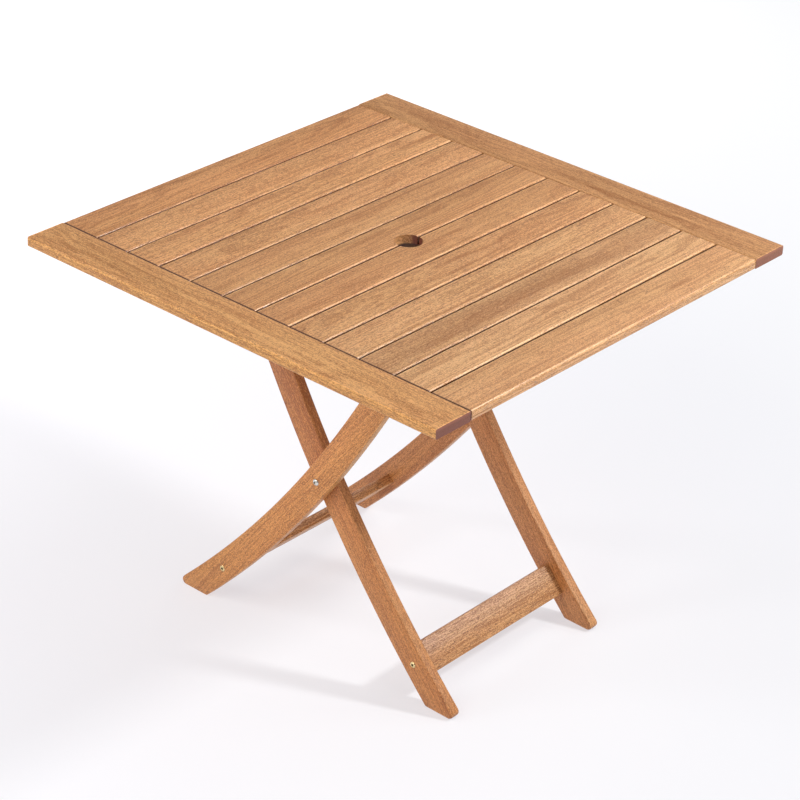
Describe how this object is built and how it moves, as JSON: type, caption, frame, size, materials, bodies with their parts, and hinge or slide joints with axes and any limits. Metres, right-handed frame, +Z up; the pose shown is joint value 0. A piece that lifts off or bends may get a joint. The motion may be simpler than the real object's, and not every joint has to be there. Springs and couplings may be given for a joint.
{
  "type": "folding picnic table",
  "caption": "Square slatted folding table with a parasol hole, on two crossed frames of curved wooden legs that close on a shared pivot.",
  "frame": {"origin": "on the floor, under the middle of the top", "axes": "+X along the end rails, +Y along the slats and the hinge axes, +Z up"},
  "size_m": [0.9, 0.892, 0.724],
  "materials": {
    "top_rail_wood": "oiled hardwood, satin, straight brown grain",
    "slat_wood": "oiled hardwood, satin, tone varies from slat to slat",
    "batten_wood": "oiled hardwood, satin",
    "leg_wood": "oiled hardwood, satin, redder, short dark pores",
    "stretcher_wood": "oiled hardwood, satin, open pores",
    "brass": "brass-plated, slightly dull",
    "steel": "zinc-plated steel"
  },
  "bodies": {
    "top": {"batten_back": "batten_wood", "batten_front": "batten_wood", "block_screw_1": "steel", "block_screw_2": "steel", "block_screw_3": "steel", "block_screw_4": "steel", "hinge_bolt_back": "steel", "hinge_bolt_front": "steel", "hinge_nut_back": "steel", "hinge_nut_front": "steel", "hinge_washer_back": "steel", "hinge_washer_front": "steel", "parasol_block": "batten_wood", "rail_back": "top_rail_wood", "rail_front": "top_rail_wood", "slat_01": "slat_wood", "slat_02": "slat_wood", "slat_03": "slat_wood", "slat_04": "slat_wood", "slat_05": "slat_wood", "slat_06": "slat_wood", "slat_07": "slat_wood", "slat_08": "slat_wood", "slat_09": "slat_wood", "slat_10": "slat_wood", "slat_11": "slat_wood", "slat_12": "slat_wood"},
    "inner_frame": {"inner_leg_back": "leg_wood", "inner_leg_front": "leg_wood", "inner_stretcher": "stretcher_wood", "inner_stretcher_screw_back": "brass", "inner_stretcher_screw_front": "brass", "pivot_bolt_back": "steel", "pivot_bolt_front": "steel", "pivot_nut_back": "steel", "pivot_nut_front": "steel", "pivot_spacer_back": "steel", "pivot_spacer_front": "steel", "pivot_washer_back": "steel", "pivot_washer_front": "steel"},
    "outer_frame": {"outer_leg_back": "leg_wood", "outer_leg_front": "leg_wood", "outer_stretcher": "stretcher_wood", "outer_stretcher_screw_back": "brass", "outer_stretcher_screw_front": "brass", "top_bar": "stretcher_wood", "top_bar_screw_back": "brass", "top_bar_screw_front": "brass"}
  },
  "joints": [
    {"name": "top_hinge", "type": "hinge", "parent": "top", "child": "inner_frame", "pos_m": [-0.178, 0, 0.67], "axis": [0, 1, 0], "range_deg": [0, 27]},
    {"name": "leg_fold", "type": "hinge", "parent": "inner_frame", "child": "outer_frame", "pos_m": [0.007, 0, 0.35], "axis": [0, -1, 0], "range_deg": [0, 54]}
  ],
  "couplings": [
    {"joint": "top_hinge", "follows": "leg_fold", "ratio": 0.5}
  ]
}
